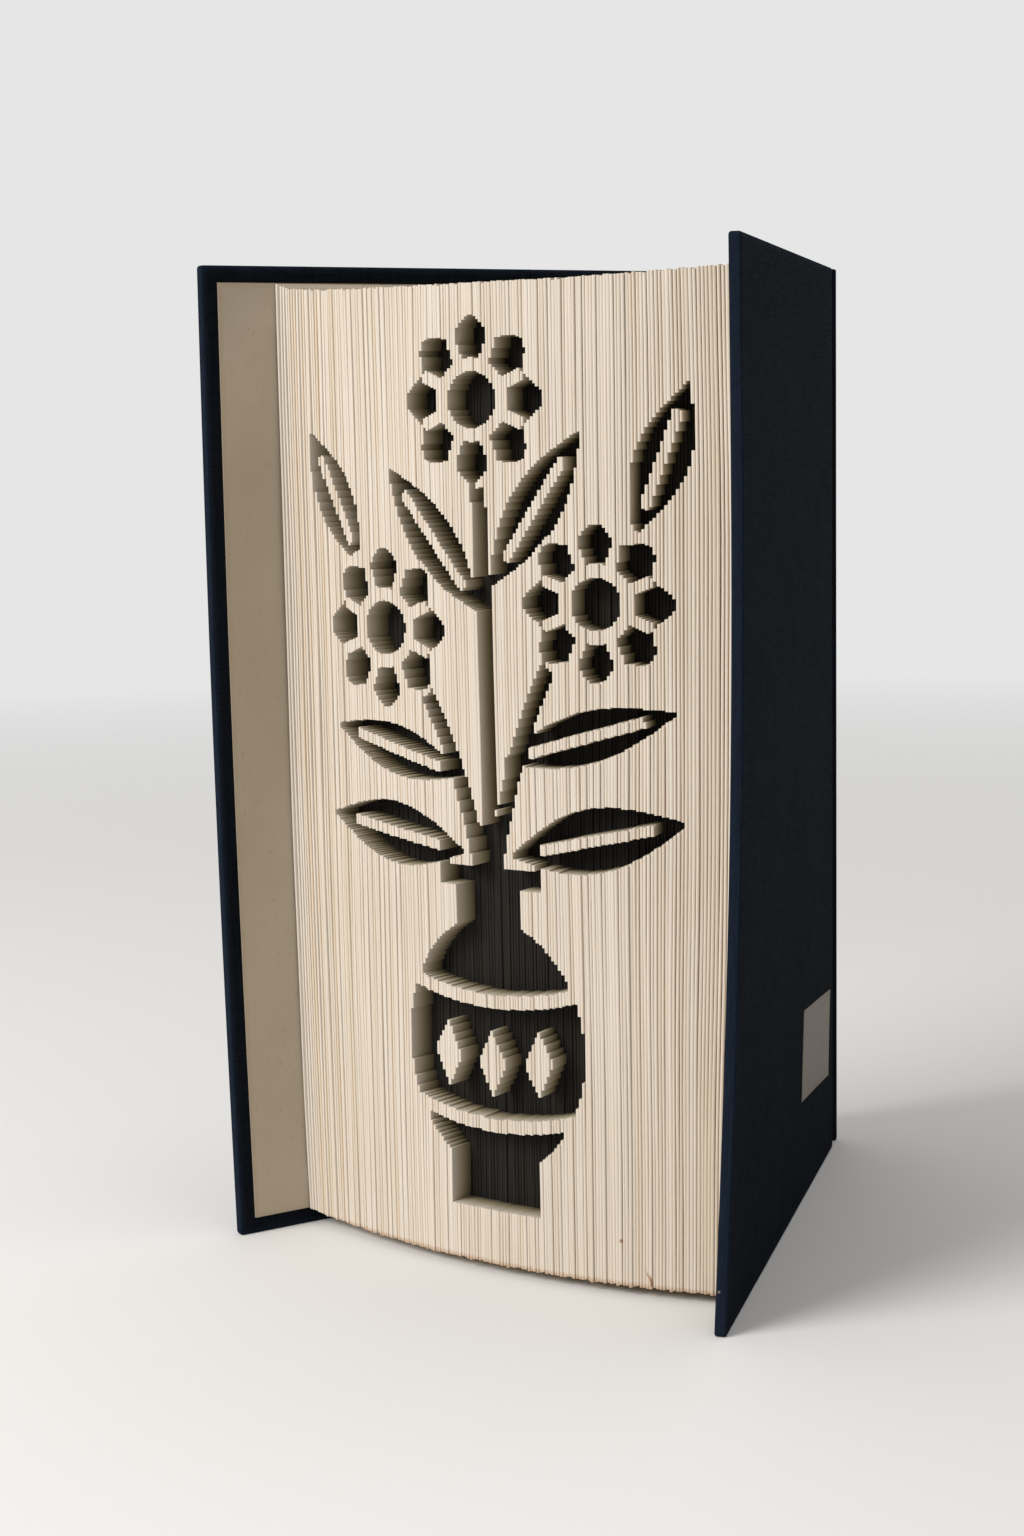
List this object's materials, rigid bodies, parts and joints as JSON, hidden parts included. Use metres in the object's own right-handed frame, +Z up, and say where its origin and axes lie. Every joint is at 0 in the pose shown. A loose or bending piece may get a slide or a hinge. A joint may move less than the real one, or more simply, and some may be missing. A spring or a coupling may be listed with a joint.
{
  "type": "book",
  "caption": "Cloth-bound hardback book standing upright with its leaves fanned out and folded, and a cut relief of a vase of flowers across their front.",
  "frame": {"origin": "middle of the outline's box, on the surface that the book stands on", "axes": "+Z up from tail to head, the spine towards +Y, the fanned leaves facing -Y, the right cover along Y"},
  "size_m": [0.1419, 0.1588, 0.24],
  "materials": {
    "cover_cloth": "matt woven book cloth",
    "board": "plain greyboard",
    "endpaper": "matt tan paper",
    "label_paper": "plain matt sticker",
    "lining": "plain kraft paper",
    "band_thread": "woven thread",
    "leaf_paper": "uncoated aged paper, inked in the cut design"
  },
  "bodies": {
    "spine": {"spine_cloth": "cover_cloth", "spine_inlay": "board", "spine_lining": "lining", "head_band": "band_thread", "tail_band": "band_thread", "text_block": "leaf_paper"},
    "right_cover": {"right_cover_cloth": "cover_cloth", "right_cover_board": "board", "right_pastedown": "endpaper", "label": "label_paper"},
    "left_cover": {"left_cover_cloth": "cover_cloth", "left_cover_board": "board", "left_pastedown": "endpaper"}
  },
  "joints": [
    {"name": "right_cover_hinge", "type": "hinge", "parent": "spine", "child": "right_cover", "pos_m": [0.06505, 0.07215, 0.12], "axis": [0, 0, 1], "range_deg": [0, 150]},
    {"name": "left_cover_hinge", "type": "hinge", "parent": "spine", "child": "left_cover", "pos_m": [0.03614, 0.07215, 0.12], "axis": [0, 0, -1], "range_deg": [0, 105]}
  ]
}
